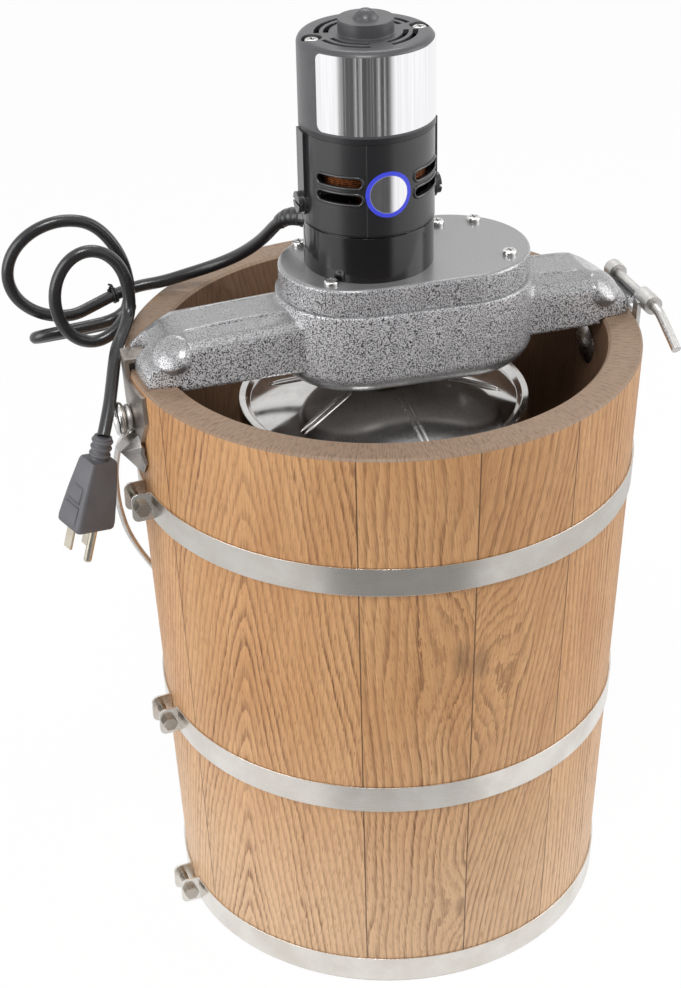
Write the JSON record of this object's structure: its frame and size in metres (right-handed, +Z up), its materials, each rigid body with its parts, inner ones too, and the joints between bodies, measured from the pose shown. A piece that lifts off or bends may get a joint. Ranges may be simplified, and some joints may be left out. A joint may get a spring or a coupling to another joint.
{
  "type": "electric ice cream maker",
  "caption": "Stave tub with steel hoops, an ice space round a turning can with a still dasher, and a geared motor head on the rim that drives the can.",
  "frame": {"origin": "middle of the tub's base, on the floor", "axes": "+Z up along the tub's and the can's axis, +X along the gear head's right arm toward the latch, -Y toward the front, where the round disc of the motor faces"},
  "size_m": [0.3712, 0.3048, 0.5811],
  "materials": {
    "oak": "oiled, open grain",
    "scraper_wood": "plain",
    "hoop_steel": "brushed",
    "fastener_steel": "bright",
    "bracket_steel": "plain",
    "hammered_paint": "hammered, glossy",
    "cover_paint": "glossy with a hammered edge",
    "gear_steel": "machined",
    "bronze": "machined",
    "copper": "wound wire, lacquered",
    "can_steel": "polished",
    "cast_aluminium": "cast",
    "seat_plastic": "moulded",
    "motor_plastic": "moulded",
    "carbon": "pressed",
    "cord_rubber": "smooth",
    "contact_metal": "plated"
  },
  "bodies": {
    "tub": {"stave_01": "oak", "stave_02": "oak", "stave_03": "oak", "stave_04": "oak", "stave_05": "oak", "stave_06": "oak", "stave_07": "oak", "stave_08": "oak", "stave_09": "oak", "stave_10": "oak", "stave_11": "oak", "tub_floor": "oak", "dasher_scrapers": "scraper_wood", "hoop_top": "hoop_steel", "hoop_middle": "hoop_steel", "hoop_bottom": "hoop_steel", "hoop_bolts": "fastener_steel", "hoop_nuts": "fastener_steel", "bracket_bolts": "fastener_steel", "bracket_nuts": "fastener_steel", "cover_screws": "fastener_steel", "cap_screws": "fastener_steel", "left_bracket": "bracket_steel", "right_bracket": "bracket_steel", "gear_frame": "hammered_paint", "gear_cover": "cover_paint", "gear_plate": "gear_steel", "reduction_arbor": "gear_steel", "motor_bearings": "gear_steel", "stator": "gear_steel", "output_bush": "bronze", "field_windings": "copper", "dasher": "cast_aluminium", "pivot_seat": "seat_plastic", "motor_base": "motor_plastic", "motor_middle": "motor_plastic", "motor_top": "motor_plastic", "brush_caps": "motor_plastic", "cord_gland": "motor_plastic", "carbon_brushes": "carbon", "cord_lead": "cord_rubber", "cord_loops": "cord_rubber", "cord_tail": "cord_rubber", "plug_body": "cord_rubber", "plug_blades": "contact_metal", "plug_ground": "contact_metal"},
    "can": {"can_body": "can_steel", "can_lid": "can_steel", "can_pivot": "can_steel", "output_gear": "gear_steel"},
    "reduction": {"reduction_wheel": "gear_steel", "reduction_pinion": "gear_steel"},
    "armature": {"armature_shaft": "gear_steel", "armature_core": "gear_steel", "commutator": "bronze", "motor_fan": "seat_plastic", "motor_pinion": "gear_steel"},
    "bail": {"bail": "bracket_steel"},
    "latch": {"latch_rod": "bracket_steel"}
  },
  "joints": [
    {"name": "can_spin", "type": "hinge", "parent": "tub", "child": "can", "pos_m": [0, 0, 0.2], "axis": [0, 0, 1], "continuous": true},
    {"name": "reduction_spin", "type": "hinge", "parent": "tub", "child": "reduction", "pos_m": [0.02813, 0, 0.41], "axis": [0, 0, 1], "continuous": true},
    {"name": "armature_spin", "type": "hinge", "parent": "tub", "child": "armature", "pos_m": [-0.00813, 0, 0.5], "axis": [0, 0, 1], "continuous": true},
    {"name": "bail_swing", "type": "hinge", "parent": "tub", "child": "bail", "pos_m": [0, 0, 0.356], "axis": [1, 0, 0], "range_deg": [0, 60]},
    {"name": "latch_slide", "type": "slide", "parent": "tub", "child": "latch", "axis": [0, -1, 0], "range_m": [0, 0.055]}
  ],
  "couplings": [
    {"joint": "reduction_spin", "follows": "can_spin", "ratio": -2.4615},
    {"joint": "armature_spin", "follows": "can_spin", "ratio": 8.5207}
  ]
}
